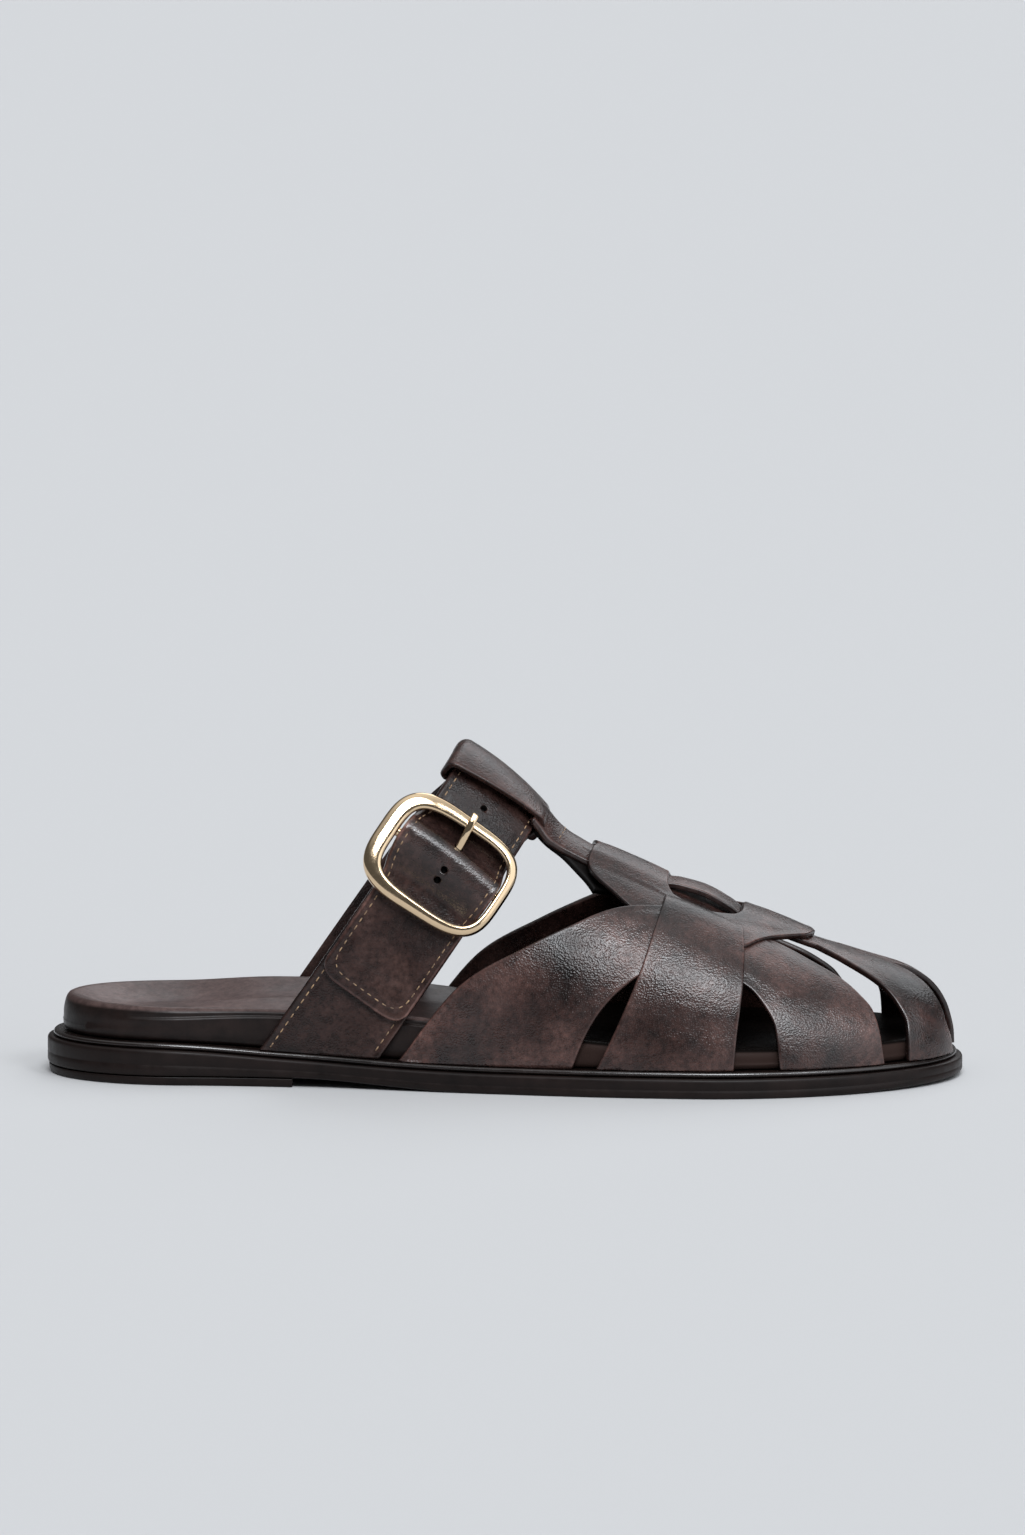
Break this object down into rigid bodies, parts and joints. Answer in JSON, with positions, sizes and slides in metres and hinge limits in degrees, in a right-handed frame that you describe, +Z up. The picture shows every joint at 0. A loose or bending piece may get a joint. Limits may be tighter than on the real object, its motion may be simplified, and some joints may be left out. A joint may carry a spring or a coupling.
{
  "type": "fisherman mule",
  "caption": "Open-back fisherman mule for the right foot: woven leather straps over a closed toe, buckled instep strap, thick footbed and flat sole.",
  "frame": {"origin": "middle of the bounding box, on the floor plane that the heel lift and the forefoot stand on", "axes": "+X to the toe, +Y to the inner side of the foot, +Z up"},
  "size_m": [0.288, 0.1054, 0.1058],
  "materials": {
    "sole_rubber": "matt, near-black brown",
    "footbed_leather": "smooth, soft sheen",
    "upper_leather": "burnished dark brown, fine grain",
    "buckle_metal": "polished pale gold"
  },
  "bodies": {
    "root": {"heel_lift": "sole_rubber", "outsole": "sole_rubber", "rand": "sole_rubber", "footbed": "footbed_leather", "upper": "upper_leather", "ankle_strap": "upper_leather", "buckle_strap": "upper_leather", "buckle_frame": "buckle_metal", "buckle_prong": "buckle_metal"}
  },
  "joints": []
}
